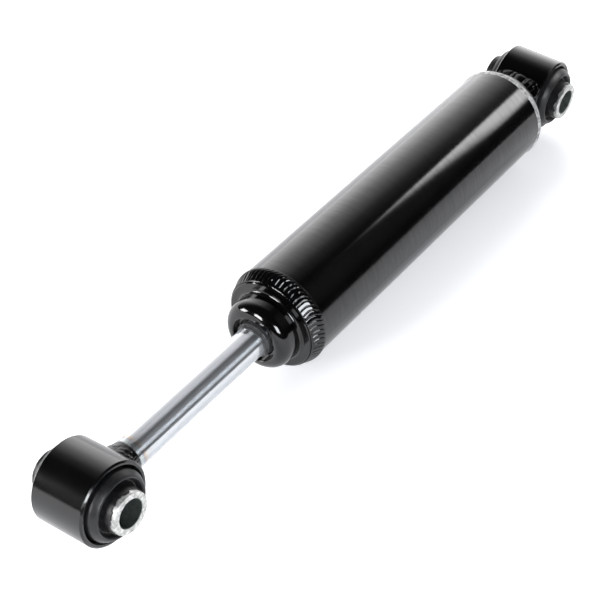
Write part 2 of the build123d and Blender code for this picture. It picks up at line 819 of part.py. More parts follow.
with BuildPart() as compression_shims:
    foot_shim_radius = foot_inner_ring_radius + port_hole_radius + shim_overlap
    for number in range(foot_shim_count):
        with BuildSketch(Plane.YZ.offset(foot_seat - number * shim_pitch - shim_gap)):
            Circle(foot_shim_radius - number * shim_step)
            Circle(foot_pin_radius + fixed_gap, mode=Mode.SUBTRACT)
        extrude(amount=-shim_thickness)
compression_shims.part.label = "compression_shims"
export_step(compression_shims.part, "parts/compression_shims.step")

with BuildPart() as foot_stop:
    hub_top = foot_front + spacer_length
    with BuildSketch(Plane.XZ):
        with BuildLine():
            Polyline(
                (foot_front, foot_pin_radius + fixed_gap),
                (foot_front, foot_hub_radius),
                (hub_top, foot_hub_radius),
                (hub_top, foot_stop_radius),
                (hub_top + foot_stop_thickness, foot_stop_radius),
                (hub_top + foot_stop_thickness, foot_pin_radius + fixed_gap),
                close=True,
            )
        make_face()
    revolve(axis=Axis.X)
foot_stop.part.label = "foot_stop"
export_step(foot_stop.part, "parts/foot_stop.step")

with BuildPart() as foot_check_plate:
    foot_plate_back = foot_front + seat_gap
    foot_plate_radius = foot_outer_ring_radius + foot_slot_width / 2 + plate_overlap
    with BuildSketch(Plane.YZ.offset(foot_plate_back)):
        Circle(foot_plate_radius)
        Circle(foot_hub_radius + loose_gap, mode=Mode.SUBTRACT)
        with PolarLocations(foot_inner_ring_radius, foot_port_count):
            Circle(port_hole_radius + plate_hole_gap, mode=Mode.SUBTRACT)
    extrude(amount=plate_thickness)
foot_check_plate.part.label = "foot_check_plate"
export_step(foot_check_plate.part, "parts/foot_check_plate.step")

foot_check_spring = star_spring(
    foot_plate_back + plate_thickness + seat_gap,
    hub_top - seat_gap,
    foot_hub_radius + loose_gap,
)
foot_check_spring.label = "foot_check_spring"
export_step(foot_check_spring, "parts/foot_check_spring.step")

with BuildPart() as foot_valve_pin:
    head_top = foot_seat - foot_shim_count * shim_pitch
    head_back = head_top - foot_head_length
    rivet_start = hub_top + foot_stop_thickness
    rivet_end = rivet_start + foot_rivet_length
    with BuildSketch(Plane.XZ):
        with BuildLine():
            Polyline(
                (head_back, 0),
                (head_back, foot_head_radius - foot_pin_edge),
                (head_back + foot_pin_edge, foot_head_radius),
                (head_top, foot_head_radius),
                (head_top, foot_pin_radius),
                (rivet_start, foot_pin_radius),
                (rivet_start, foot_rivet_radius),
                (rivet_end - foot_pin_edge, foot_rivet_radius),
                (rivet_end, foot_rivet_radius - foot_pin_edge),
                (rivet_end, 0),
                close=True,
            )
        make_face()
    revolve(axis=Axis.X)
foot_valve_pin.part.label = "foot_valve_pin"
export_step(foot_valve_pin.part, "parts/foot_valve_pin.step")
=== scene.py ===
import json
import math

import bpy
import bmesh
from mathutils import Matrix, Vector, noise

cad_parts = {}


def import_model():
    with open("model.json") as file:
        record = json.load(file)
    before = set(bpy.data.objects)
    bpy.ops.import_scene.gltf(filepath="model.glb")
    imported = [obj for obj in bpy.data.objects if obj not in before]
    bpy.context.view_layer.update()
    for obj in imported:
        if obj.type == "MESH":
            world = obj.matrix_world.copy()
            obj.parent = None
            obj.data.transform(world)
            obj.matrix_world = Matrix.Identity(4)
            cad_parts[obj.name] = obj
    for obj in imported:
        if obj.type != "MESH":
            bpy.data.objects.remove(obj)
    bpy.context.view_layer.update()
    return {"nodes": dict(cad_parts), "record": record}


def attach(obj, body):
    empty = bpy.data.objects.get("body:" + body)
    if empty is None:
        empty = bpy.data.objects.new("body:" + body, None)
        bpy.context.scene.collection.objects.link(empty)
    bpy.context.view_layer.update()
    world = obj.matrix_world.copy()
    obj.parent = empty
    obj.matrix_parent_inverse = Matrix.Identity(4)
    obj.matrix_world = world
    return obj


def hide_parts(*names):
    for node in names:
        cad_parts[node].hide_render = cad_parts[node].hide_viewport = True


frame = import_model()

# Sizes in mm. The origin is the barrel eye's centre, and x runs along the shock to the rod eye.
MM = 0.001
FLOOR_Z = -23.9               # the weld beads' crests lie on the floor
BARREL_EYE = (0.0, 0.0)       # centre's x, and roll about the shock in degrees
ROD_EYE = (330.0, 7.5)
EYE_RADIUS = 18.0
EYE_HALF_WIDTH = 13.2
EYE_BORE = 15.5
SLEEVE_RADIUS = 9.0
SLEEVE_HALF_LENGTH = 21.5
BOLT_HOLE = 6.1
BARREL_RADIUS = 23.3
BARREL_BORE = 21.5
FRONT_BEAD = (208.8, 217.0)   # x of the bead's two ends
REAR_BEAD = (27.95, 31.25)
WELD_TOE = 308.0              # x where the rod eye's weld starts on the rod
NOISE_RADIUS = 23             # radius at which both beads look up the noise that roughens them


# Outlines and meshes

def rounded(corners, steps=5, lead=0.12):
    """Closed outline of (along, radius, fillet) corners, as points with each corner turned by an arc."""
    points = []
    count = len(corners)
    for i, (a, r, fillet) in enumerate(corners):
        here = Vector((a, r))
        before = Vector(corners[i - 1][:2]) - here
        after = Vector(corners[(i + 1) % count][:2]) - here
        near = min(before.length, after.length)
        before.normalize()
        after.normalize()
        turn = math.acos(max(-1.0, min(1.0, before.dot(after))))
        if fillet <= 0 or turn > math.pi - 0.02:
            points.append(tuple(here))
            continue
        reach = min(fillet / math.tan(turn / 2), 0.48 * near)
        size = reach * math.tan(turn / 2)
        middle = here + (before + after).normalized() * (size / math.sin(turn / 2))
        start = here + before * reach
        end = here + after * reach
        if near - 2 * reach > 3 * lead:
            points.append(tuple(start + before * lead))
        first = start - middle
        swing = first.angle_signed(end - middle)
        for k in range(steps + 1):
            turned = first.copy()
            turned.rotate(Matrix.Rotation(-swing * k / steps, 2))
            points.append(tuple(middle + turned))
        if near - 2 * reach > 3 * lead:
            points.append(tuple(end + after * lead))
    return points


def smooth_line(points, each=6):
    """Catmull-Rom line through open (along, radius) points."""
    out = []
    padded = [points[0]] + list(points) + [points[-1]]
    for i in range(1, len(padded) - 2):
        p0, p1, p2, p3 = (Vector(p) for p in padded[i - 1:i + 3])
        for k in range(each):
            t = k / each
            out.append(tuple(0.5 * (2 * p1 + (p2 - p0) * t + (2 * p0 - 5 * p1 + 4 * p2 - p3) * t * t
                                    + (3 * p1 - p0 - 3 * p2 + p3) * t ** 3)))
    out.append(tuple(points[-1]))
    return out


def finish_mesh(name, verts, faces):
    """Smooth object of faces on points in mm, its normals facing out."""
    mesh = bpy.data.meshes.new(name)
    mesh.from_pydata([Vector(v) * MM for v in verts], [], faces)
    bm = bmesh.new()
    bm.from_mesh(mesh)
    bmesh.ops.recalc_face_normals(bm, faces=bm.faces)
    bm.to_mesh(mesh)
    bm.free()
    mesh.shade_smooth()
    obj = bpy.data.objects.new(name, mesh)
    bpy.context.scene.collection.objects.link(obj)
    return obj


def lathe(name, outline, axis=(1, 0, 0), origin=(0, 0, 0), segments=192, shape=None):
    """Turns a closed (along, radius) outline about an axis; shape moves each (along, radius, angle) point."""
    axis = Vector(axis).normalized()
    side = Vector((0, 0, 1)) if abs(axis.z) < 0.9 else Vector((1, 0, 0))
    side = (side - axis * side.dot(axis)).normalized()
    up = axis.cross(side)
    origin = Vector(origin)
    verts = []
    faces = []
    rows = len(outline)
    for j in range(segments):
        angle = 2 * math.pi * j / segments
        out = math.cos(angle) * side + math.sin(angle) * up
        for a, r in outline:
            if shape:
                a, r = shape(a, r, angle)
            verts.append(origin + axis * a + out * r)
    for j in range(segments):
        k = (j + 1) % segments
        for i in range(rows):
            n = (i + 1) % rows
            faces.append((j * rows + i, j * rows + n, k * rows + n, k * rows + i))
    return finish_mesh(name, verts, faces)


def bolt_axis(roll):
    """Direction of an eye's bolt: y, turned about the shock by roll degrees."""
    return Vector((0, math.cos(math.radians(roll)), math.sin(math.radians(roll))))


def wobble(x, y, z, scale, seed=0.0):
    """Smooth noise from -1 to 1 at a place in mm, with features about scale mm across."""
    return noise.noise(Vector((x / scale + seed, y / scale + 3.7 * seed, z / scale - seed)))


# Materials

def nodes_of(name):
    mat = bpy.data.materials.new(name)
    mat.use_nodes = True
    tree = mat.node_tree
    tree.nodes.clear()
    return mat, tree


def add(tree, kind, sockets=None, **props):
    node = tree.nodes.new(kind)
    for key, value in props.items():
        setattr(node, key, value)
    for key, value in (sockets or {}).items():
        socket = node.inputs[key]
        if isinstance(value, bpy.types.NodeSocket):
            tree.links.new(value, socket)
        else:
            socket.default_value = value
    return node


def ramp(tree, factor, stops):
    node = add(tree, "ShaderNodeValToRGB", {"Fac": factor})
    while len(node.color_ramp.elements) < len(stops):
        node.color_ramp.elements.new(1.0)
    for element, (at, colour) in zip(node.color_ramp.elements, stops):
        element.position = at
        element.color = (*colour, 1.0) if isinstance(colour, tuple) else (colour, colour, colour, 1.0)
    return node.outputs["Color"]


def math_node(tree, operation, a, b=0.0, clamp=False):
    return add(tree, "ShaderNodeMath", {0: a, 1: b}, operation=operation, use_clamp=clamp).outputs[0]


def vector_math(tree, operation, a, b=(0.0, 0.0, 0.0)):
    node = add(tree, "ShaderNodeVectorMath", {0: a, 1: b}, operation=operation)
    return node.outputs["Value" if operation in ("DOT_PRODUCT", "LENGTH") else "Vector"]


def map_range(tree, value, low, high, to_low=0.0, to_high=1.0, curve="LINEAR"):
    """value from low..high carried to to_low..to_high and held there beyond"""
    sockets = {"Value": value, "From Min": low, "From Max": high, "To Min": to_low, "To Max": to_high}
    return add(tree, "ShaderNodeMapRange", sockets, interpolation_type=curve).outputs["Result"]


def place(tree, stretch=(1.0, 1.0, 1.0)):
    """Position in mm, stretched, in the piece's own frame, which at rest is the shared one."""
    coord = add(tree, "ShaderNodeTexCoord").outputs["Object"]
    return vector_math(tree, "MULTIPLY", coord, tuple(s / MM for s in stretch))


def noise_tex(tree, vector, scale, detail=3.0, rough=0.5):
    return add(tree, "ShaderNodeTexNoise",
               {"Vector": vector, "Scale": scale, "Detail": detail, "Roughness": rough}).outputs["Fac"]


def mix(tree, factor, a, b):
    node = add(tree, "ShaderNodeMix", data_type="RGBA")
    for key, value in (("Factor", factor), ("A", a), ("B", b)):
        socket = [s for s in node.inputs if s.name == key and s.enabled][0]
        if isinstance(value, bpy.types.NodeSocket):
            tree.links.new(value, socket)
        elif key == "Factor":
            socket.default_value = value
        else:
            socket.default_value = (*value, 1.0)
    return [s for s in node.outputs if s.enabled][0]


def bump(tree, height, distance, normal=None):
    node = add(tree, "ShaderNodeBump", {"Height": height, "Distance": distance * MM, "Strength": 1.0})
    if normal is not None:
        tree.links.new(normal, node.inputs["Normal"])
    return node.outputs["Normal"]


def between(tree, value, low, high):
    """value from 0..1 carried to low..high"""
    return map_range(tree, value, 0.0, 1.0, low, high)


def close(tree, colour, roughness, normal, metallic=0.0, **sockets):
    """Principled shader, joined to the material's output."""
    values = {"Base Color": colour, "Roughness": roughness, "Normal": normal, "Metallic": metallic}
    values.update(sockets)
    shader = add(tree, "ShaderNodeBsdfPrincipled", values)
    add(tree, "ShaderNodeOutputMaterial", {"Surface": shader.outputs[0]})


def paint(name, dark, light, rough, peel, lines=0.0, lumps=0.0, lean=0.0, specular=0.5, cloud=0.06):
    """Gloss paint: faint clouds, orange peel, and where asked fine lines round the shock, weld lumps or
    ripple faces that lean towards the rod."""
    mat, tree = nodes_of(name)
    at = place(tree)
    clouds = noise_tex(tree, at, cloud, 4.0)
    colour = mix(tree, ramp(tree, clouds, [(0.35, 0.0), (0.65, 1.0)]), dark, light)
    speck = noise_tex(tree, at, 1.9, 2.0)
    normal = bump(tree, noise_tex(tree, at, 0.45, 2.0), peel)
    roughness = between(tree, speck, rough * 0.7, rough * 1.3)
    if lines:
        round_lines = noise_tex(tree, place(tree, (2.2, 0.04, 0.04)), 1.0, 3.0, 0.7)
        normal = bump(tree, round_lines, lines, normal)
        roughness = between(tree, round_lines, rough * 0.55, rough * 1.5)
        brushed = noise_tex(tree, place(tree, (1.8, 0.05, 0.05)), 1.0, 3.0, 0.8)
        brushed = ramp(tree, brushed, [(0.36, 0.0), (0.64, 1.0)])
        specular = between(tree, brushed, 0.40, 0.58)
    if lumps:
        normal = bump(tree, noise_tex(tree, at, 0.9, 4.0, 0.6), lumps, normal)
    if lean:
        along = add(tree, "ShaderNodeSeparateXYZ", {0: at}).outputs["X"]
        normal = bump(tree, math_node(tree, "MULTIPLY", along, -1.0), lean, normal)
    close(tree, colour, roughness, normal, **{"Specular IOR Level": specular})
    return mat


def rubber(name, dark, light, rough, grain):
    mat, tree = nodes_of(name)
    at = place(tree)
    dust = noise_tex(tree, at, 0.35, 5.0, 0.6)
    colour = mix(tree, ramp(tree, dust, [(0.35, 0.0), (0.75, 1.0)]), dark, light)
    normal = bump(tree, noise_tex(tree, at, 2.6, 4.0, 0.7), grain)
    normal = bump(tree, noise_tex(tree, at, 0.5, 2.0), grain * 1.5, normal)
    close(tree, colour, between(tree, dust, rough - 0.08, rough + 0.1), normal,
          **{"Specular IOR Level": 0.4})
    return mat


def metal(name, dark, light, rough, stretch, depth, metallic=1.0):
    """Turned, drawn or sintered metal; stretch lays its grain along or round the piece."""
    mat, tree = nodes_of(name)
    grain = noise_tex(tree, place(tree, stretch), 1.0, 4.0, 0.6)
    stain = noise_tex(tree, place(tree), 0.12, 3.0)
    colour = mix(tree, stain, dark, light)
    normal = bump(tree, grain, depth)
    close(tree, colour, between(tree, grain, rough * 0.7, rough * 1.35), normal, metallic)
    return mat


def chrome_rod(name):
    """Ground chrome, with the heat tint, the bare ring and the blue line that the eye's weld left."""
    mat, tree = nodes_of(name)
    along = add(tree, "ShaderNodeSeparateXYZ", {0: place(tree)}).outputs["X"]
    drift = noise_tex(tree, place(tree), 0.5, 2.0)
    shifted = math_node(tree, "ADD", along, math_node(tree, "MULTIPLY", drift, 0.5))
    tint_start = WELD_TOE - 7.4
    tint_end = WELD_TOE + 0.6
    heat = map_range(tree, shifted, tint_start, tint_end)
    tint = ramp(tree, heat, [
        (0.0, (0.57, 0.58, 0.60)), (0.42, (0.57, 0.57, 0.57)), (0.56, (0.50, 0.38, 0.26)),
        (0.64, (0.34, 0.24, 0.21)), (0.70, (0.20, 0.24, 0.33)), (0.76, (0.50, 0.54, 0.52)),
        (0.90, (0.44, 0.47, 0.45)), (1.0, (0.12, 0.13, 0.13))])
    grind = noise_tex(tree, place(tree, (3.2, 0.05, 0.05)), 1.0, 3.0, 0.7)
    normal = bump(tree, grind, 0.0012)
    mirror = add(tree, "ShaderNodeBsdfPrincipled", {
        "Base Color": tint, "Roughness": between(tree, grind, 0.07, 0.15), "Normal": normal,
        "Metallic": 0.82})
    tangent = add(tree, "ShaderNodeTangent", direction_type="RADIAL", axis="X").outputs[0]
    haze = add(tree, "ShaderNodeBsdfAnisotropic", {
        "Color": (0.86, 0.90, 0.95, 1.0), "Roughness": 0.55, "Anisotropy": 0.85, "Tangent": tangent})
    both = add(tree, "ShaderNodeMixShader", {0: 0.28, 1: mirror.outputs[0], 2: haze.outputs[0]})
    add(tree, "ShaderNodeOutputMaterial", {"Surface": both.outputs[0]})
    return mat


def sleeve_steel(name, centre_x, roll):
    """Zinc-plated sleeve with bright faced ends; overspray blacks its sides up to a ragged edge near the +y
    end, and at the -y end the sides are dark all the way to the face."""
    mat, tree = nodes_of(name)
    axis = bolt_axis(roll)
    at = place(tree)
    along = vector_math(tree, "DOT_PRODUCT", at, tuple(axis))
    ends = math_node(tree, "ABSOLUTE", along)
    from_centre = vector_math(tree, "SUBTRACT", at, (centre_x, 0.0, 0.0))
    square = vector_math(tree, "DOT_PRODUCT", from_centre, from_centre)
    radius = math_node(tree, "SQRT", math_node(
        tree, "SUBTRACT", square, math_node(tree, "MULTIPLY", along, along)))
    ragged = noise_tex(tree, at, 0.55, 4.0, 0.65)
    edge = math_node(tree, "ADD", ends, math_node(tree, "MULTIPLY", ragged, 3.0))
    spray_end = SLEEVE_HALF_LENGTH - 1.9
    bright = map_range(tree, edge, spray_end, spray_end + 0.4)
    # Only the +y end keeps a bright band; at the -y end the sides stay dark up to the face.
    bright = math_node(tree, "MULTIPLY", bright, math_node(tree, "GREATER_THAN", along, 0.0))
    faced = math_node(tree, "GREATER_THAN", ends, SLEEVE_HALF_LENGTH - 0.2)
    bright = math_node(tree, "MAXIMUM", bright, faced)
    outside = math_node(tree, "GREATER_THAN", radius, SLEEVE_RADIUS - 0.45)
    dark_sides = math_node(tree, "MULTIPLY", math_node(tree, "SUBTRACT", 1.0, bright), outside)
    in_bore = math_node(tree, "LESS_THAN", radius, BOLT_HOLE + 0.25)
    plate = mix(tree, ramp(tree, ragged, [(0.3, 0.0), (0.7, 1.0)]), (0.20, 0.20, 0.195), (0.78, 0.78, 0.76))
    bore = mix(tree, ragged, (0.05, 0.06, 0.055), (0.24, 0.27, 0.255))
    colour = mix(tree, in_bore, plate, bore)
    colour = mix(tree, dark_sides, colour, (0.006, 0.006, 0.007))
    rings = add(tree, "ShaderNodeTexWave",
                {"Vector": add(tree, "ShaderNodeCombineXYZ", {"X": radius}).outputs[0], "Scale": 1.1,
                 "Distortion": 1.5, "Detail": 2.0}).outputs["Fac"]
    normal = bump(tree, rings, 0.015)
    normal = bump(tree, noise_tex(tree, at, 1.3, 3.0), 0.03, normal)
    metallic = math_node(tree, "SUBTRACT", 0.75, math_node(tree, "MULTIPLY", dark_sides, 0.75))
    close(tree, colour, between(tree, ragged, 0.32, 0.5), normal, metallic)
    return mat


BLACK = (0.0008, 0.0008, 0.0009)
DARK = (0.0016, 0.0016, 0.0018)
materials = {
    "barrel_paint": paint("barrel_paint", BLACK, DARK, 0.12, 0.012, lines=0.012),
    "cap_paint": paint("cap_paint", BLACK, DARK, 0.10, 0.01),
    "weld_paint": paint("weld_paint", BLACK, DARK, 0.06, 0.015, lumps=0.03, specular=0.4),
    "front_bead": paint("front_bead", BLACK, DARK, 0.08, 0.008, lumps=0.006, lean=0.3),
    # The rear bead's light grey is a painted reflection of the lamps on its rough ripples, not the weld's own
    # colour.
    "rear_bead": paint("rear_bead", (0.16, 0.16, 0.16), (0.60, 0.60, 0.59), 0.32, 0.03,
                       lumps=0.05, cloud=0.7),
    "eye_paint": paint("eye_paint", BLACK, DARK, 0.17, 0.015),
    "rod_chrome": chrome_rod("rod_chrome"),
    "sleeve_steel": sleeve_steel("sleeve_steel", *BARREL_EYE),
    "rod_sleeve_steel": sleeve_steel("rod_sleeve_steel", *ROD_EYE),
    "bush_rubber": rubber("bush_rubber", (0.005, 0.005, 0.0055), (0.014, 0.014, 0.015), 0.40, 0.03),
    "wiper_rubber": rubber("wiper_rubber", (0.035, 0.035, 0.037), (0.07, 0.07, 0.072), 0.24, 0.01),
    "seal_rubber": rubber("seal_rubber", (0.02, 0.02, 0.02), (0.035, 0.035, 0.035), 0.4, 0.01),
    "bumper_rubber": rubber("bumper_rubber", (0.03, 0.03, 0.03), (0.05, 0.05, 0.05), 0.5, 0.02),
    "sintered_iron": metal("sintered_iron", (0.16, 0.16, 0.17), (0.26, 0.26, 0.27),
                           0.5, (2, 2, 2), 0.02, 0.8),
    "tube_steel": metal("tube_steel", (0.4, 0.4, 0.41), (0.5, 0.5, 0.51), 0.3, (0.1, 2.0, 2.0), 0.006),
    "turned_steel": metal("turned_steel", (0.45, 0.45, 0.46), (0.56, 0.56, 0.57),
                          0.28, (2.5, 0.1, 0.1), 0.006),
    "spring_steel": metal("spring_steel", (0.26, 0.27, 0.31), (0.36, 0.37, 0.4),
                          0.25, (0.5, 1.5, 1.5), 0.004),
    "bronze_bush": metal("bronze_bush", (0.45, 0.32, 0.17), (0.55, 0.4, 0.23),
                         0.35, (0.2, 2.0, 2.0), 0.006),
    "band_plastic": metal("band_plastic", (0.22, 0.15, 0.09), (0.32, 0.23, 0.14),
                          0.45, (1.5, 1.5, 1.5), 0.01, 0.1),
    "zinc_nut": metal("zinc_nut", (0.55, 0.55, 0.5), (0.66, 0.66, 0.6), 0.34, (1.5, 1.5, 1.5), 0.01),
}

for part in frame["record"]["subparts"]:
    node = frame["nodes"][part["node"]]
    chosen = materials[part["material_slot"]]
    if part["node"] == "rod_bush_sleeve":
        chosen = materials["rod_sleeve_steel"]
    if not node.material_slots:
        node.data.materials.append(None)
    for material_slot in node.material_slots:
        material_slot.material = chosen


def dress(obj, body, slot_name, *nodes, material=None):
    """Gives a made piece its material, chosen by slot name unless another is given, and its body, and hides
    the solids' nodes that it replaces.
    """
    obj.data.materials.append(materials[material or slot_name])
    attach(obj, body)
    if nodes:
        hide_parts(*nodes)
    return obj


# Weld beads round the barrel

def front_bead():
    """Broad bead of 62 crescents, a thin groove between each two, from the tube to the front cap."""
    count = 62
    start, end = FRONT_BEAD
    section = smooth_line([
        (start, BARREL_RADIUS), (209.5, 23.5), (210.4, 23.72), (211.2, 23.74), (212.1, 23.52), (213.3, 23.06),
        (214.6, 22.55), (215.9, 22.1), (216.7, 21.8), (end, BARREL_BORE)], 4)
    outline = [(start, BARREL_BORE)] + section + [(end, BARREL_BORE)]

    def shape(a, r, angle):
        if r < BARREL_BORE + 0.05:
            return a, r
        t = (a - start) / (end - start)
        y, z = math.cos(angle) * NOISE_RADIUS, math.sin(angle) * NOISE_RADIUS
        u = count * angle / (2 * math.pi) + 2.3 * (t - 0.7) ** 2 + 0.22 * wobble(a, y, z, 3.0, 1.3)
        part = u - math.floor(u)
        groove = math.exp(-((part - 0.5) / 0.11) ** 2)
        edge = min(1.0, 5 * t) * min(1.0, 6 * (1 - t))
        depth = 0.34 + 0.12 * wobble(a, y, z, 6.0, 5.1)
        return a + 0.08 * wobble(a, y, z, 3.0, 7.7) * edge, r - edge * (depth * groove + 0.06)

    return lathe("front_bead_ripples", outline, segments=1400, shape=shape)


def rear_bead():
    """Narrow bead of 60 segments at the barrel's rear end."""
    count = 60
    start, end = REAR_BEAD
    middle = (start + end) / 2
    flank = 22.0
    height = 1.9
    outline = rounded([
        (end, BARREL_BORE, 0.05), (end, BARREL_RADIUS, 0.05), (30.2, 23.88, 0.8), (29.0, 23.8, 0.8),
        (28.0, 22.9, 0.5), (start, BARREL_BORE, 0.05)], steps=8)

    def shape(a, r, angle):
        if r < flank:
            return a, r
        y, z = math.cos(angle) * NOISE_RADIUS, math.sin(angle) * NOISE_RADIUS
        u = count * angle / (2 * math.pi) + 0.5 * wobble(0, y, z, 5.0, 2.0) + 0.25 * (a - middle)
        part = u - math.floor(u)
        scallop = 1 - math.sqrt(max(0.0, 1 - (2 * part - 1) ** 2))
        depth = 0.02 + 0.22 * scallop + 0.05 * (1 + wobble(a, y, z, 1.5, 4.0))
        return a, r - depth * (r - flank) / height

    return lathe("rear_bead_ripples", outline, segments=960, shape=shape)


dress(front_bead(), "barrel", "weld_paint", "front_weld_bead", material="front_bead")
dress(rear_bead(), "barrel", "weld_paint", "rear_weld_bead", material="rear_bead")


# Eyes and bushes

def eye_ring(name, centre_x, roll, seed):
    """Painted ring with rounded edges and thick paint gathered along them."""
    face = EYE_HALF_WIDTH
    outside = EYE_RADIUS - 0.05
    outer_chamfer = 0.7
    inner_chamfer = 0.8
    outline = rounded([
        (-face, EYE_BORE + 0.75, 0.2), (-face, outside - 0.75, 0.15), (outer_chamfer - face, outside, 0.2),
        (face - outer_chamfer, outside, 0.2), (face, outside - 0.75, 0.15), (face, EYE_BORE + 0.75, 0.2),
        (face - inner_chamfer, EYE_BORE, 0.2), (inner_chamfer - face, EYE_BORE, 0.2)], steps=6)

    def shape(a, r, angle):
        y, z = math.cos(angle) * r, math.sin(angle) * r
        soft = 0.05 * wobble(a, y, z, 5.0, seed) - 0.05
        lip = max(0.0, (abs(a) - (face - 1.2)) / 1.2)
        gathered = 0.05 * lip * (1 + wobble(a, y, z, 2.0, seed + 4))
        return a - math.copysign(gathered, a), r + soft * (r > outside - 0.95)

    return lathe(name, outline, bolt_axis(roll), (centre_x, 0, 0), 360, shape)


def bush(name, centre_x, roll, seed, ragged):
    """Rubber with a crest, a deep groove and a ragged collar round the sleeve at each end."""
    hole = SLEEVE_RADIUS + 0.03
    ring_edge = EYE_HALF_WIDTH + 0.3
    collar = 16.5
    half = smooth_line([
        (0.0, hole), (13.0, hole), (19.2, hole), (20.3, 9.06), (20.55, 9.2), (20.2, 9.42), (18.0, 9.55),
        (16.2, 9.7), (15.0, 10.0), (14.3, 10.5), (14.3, 10.95), (15.0, 11.4), (16.3, 11.9), (16.9, 12.5),
        (16.75, 13.2), (15.95, 13.9), (15.0, 14.5), (14.2, 14.85), (13.2, 14.95), (11.4, 14.98), (9.6, 15.45),
        (0.0, 15.45)], 5)
    outline = half + [(-a, r) for a, r in reversed(half[1:-1])]

    def shape(a, r, angle):
        y, z = math.cos(angle) * r, math.sin(angle) * r
        if abs(a) < ring_edge:
            return a, r
        end = math.copysign(1.0, a)
        bulge = 0.12 * wobble(end * 9, y, z, 7.0, seed)
        if r < SLEEVE_RADIUS + 0.9 and abs(a) > collar:
            torn = 0.5 + 0.9 * wobble(end * 3, y, z, 3.0, seed + 1) + 0.5 * wobble(end, y, z, 1.1, seed)
            shorter = min(1.0, (abs(a) - collar) / 3.5) * max(0.0, min(1.6, torn)) * ragged
            return a - end * shorter, r
        return a + end * bulge * min(1.0, abs(a) - ring_edge), r + 0.05 * wobble(a, y, z, 3.0, seed + 2)

    return lathe(name, outline, bolt_axis(roll), (centre_x, 0, 0), 288, shape)


def sleeve(name, centre_x, roll, seed):
    """Steel sleeve with its edges just broken."""
    end = SLEEVE_HALF_LENGTH
    outline = rounded([
        (-end, BOLT_HOLE, 0.3), (-end, SLEEVE_RADIUS, 0.35),
        (end, SLEEVE_RADIUS, 0.35), (end, BOLT_HOLE, 0.3)])

    def shape(a, r, angle):
        y, z = math.cos(angle) * r, math.sin(angle) * r
        worn = max(0.0, abs(a) - (end - 0.6))
        dent = max(0.0, wobble(a, y, z, 2.4, seed)) * 0.25 * worn * (r > SLEEVE_RADIUS - 0.5)
        return a - math.copysign(0.3 * dent, a), r - dent

    return lathe(name, outline, bolt_axis(roll), (centre_x, 0, 0), 240, shape)


dress(eye_ring("barrel_eye_painted", *BARREL_EYE, 2.0), "barrel", "eye_paint", "barrel_eye_ring")
dress(eye_ring("rod_eye_painted", *ROD_EYE, 8.0), "rod", "eye_paint", "rod_eye_ring")
dress(bush("barrel_bush_moulded", *BARREL_EYE, 3.0, 1.2), "barrel", "bush_rubber", "barrel_bush_rubber")
dress(bush("rod_bush_moulded", *ROD_EYE, 6.0, 1.7), "rod", "bush_rubber", "rod_bush_rubber")
dress(sleeve("barrel_sleeve_turned", *BARREL_EYE, 3.0), "barrel_sleeve", "sleeve_steel", "barrel_bush_sleeve")
dress(sleeve("rod_sleeve_turned", *ROD_EYE, 7.0), "rod_sleeve", "sleeve_steel", "rod_bush_sleeve",
      material="rod_sleeve_steel")


# Welds of the eyes

def eye_weld(name, centre_x, roll, toe, stem, out, count, seed, wide=None, swelling=0.3):
    """Rippled bead from its toe on a stem to the eye ring, round, or squared off to the half width wide."""
    way = math.copysign(1.0, centre_x - toe)
    reach = EYE_RADIUS - 0.02
    rise = 0.35 if wide else 0.9
    across = Vector((1, 0, 0)).cross(bolt_axis(roll))
    segments = 480
    steps = 22
    verts = []
    faces = []
    for j in range(segments):
        angle = 2 * math.pi * j / segments
        y, z = math.cos(angle), math.sin(angle)
        lean = Vector((0, y, z)).dot(across)
        part = count * angle / (2 * math.pi) + 1.1 * wobble(0, 9 * y, 9 * z, 4.0, seed)
        part -= math.floor(part)
        swell = math.sqrt(max(0.0, 1 - (2 * part - 1) ** 2))
        big = out * (0.9 + 0.16 * wobble(3, 9 * y, 9 * z, 5.0, seed + 2) + 0.10 * swell)
        if wide:
            high = stem + big
            squared = 1 / ((abs(y) / wide) ** 5 + (abs(z) / high) ** 5) ** 0.2
            big = squared - stem
        row = []
        for k in range(steps + 1):
            t = k / steps
            r = stem + big * (1 - math.cos(t * math.pi / 2)) ** rise
            full = centre_x - way * math.sqrt(max(0.0, reach ** 2 - ((stem + big) * lean) ** 2))
            x = toe + (full - toe) * math.sin(t * math.pi / 2)
            hump = math.sin(math.pi * t) * (0.25 + swelling * swell
                                            + 0.2 * wobble(10 * t, 9 * y, 9 * z, 2.0, seed + 5))
            row.append((x - way * hump * 0.7, r + hump * 0.7))
        last_x, last_r = row[-1]
        row.append((last_x + way * 0.8, last_r - 0.2))
        row.append((last_x + way * 0.8, stem - 0.3))
        row.append((toe + way * 0.2, stem - 0.3))
        for x, r in row:
            verts.append((x, r * y, r * z))
    rows = steps + 4
    for j in range(segments):
        n = (j + 1) % segments
        for i in range(rows):
            m = (i + 1) % rows
            faces.append((j * rows + i, j * rows + m, n * rows + m, n * rows + i))
    return finish_mesh(name, verts, faces)


dress(eye_weld("rod_eye_weld_ripples", *ROD_EYE, WELD_TOE, 7.02, 1.3, 8, 2.0),
      "rod", "weld_paint", "rod_eye_weld")
dress(eye_weld("barrel_eye_weld_ripples", *BARREL_EYE, 21.6, 10.52, 3.6, 24, 4.0, wide=13.0, swelling=0.8),
      "barrel", "weld_paint", "barrel_eye_weld")


# Wiper

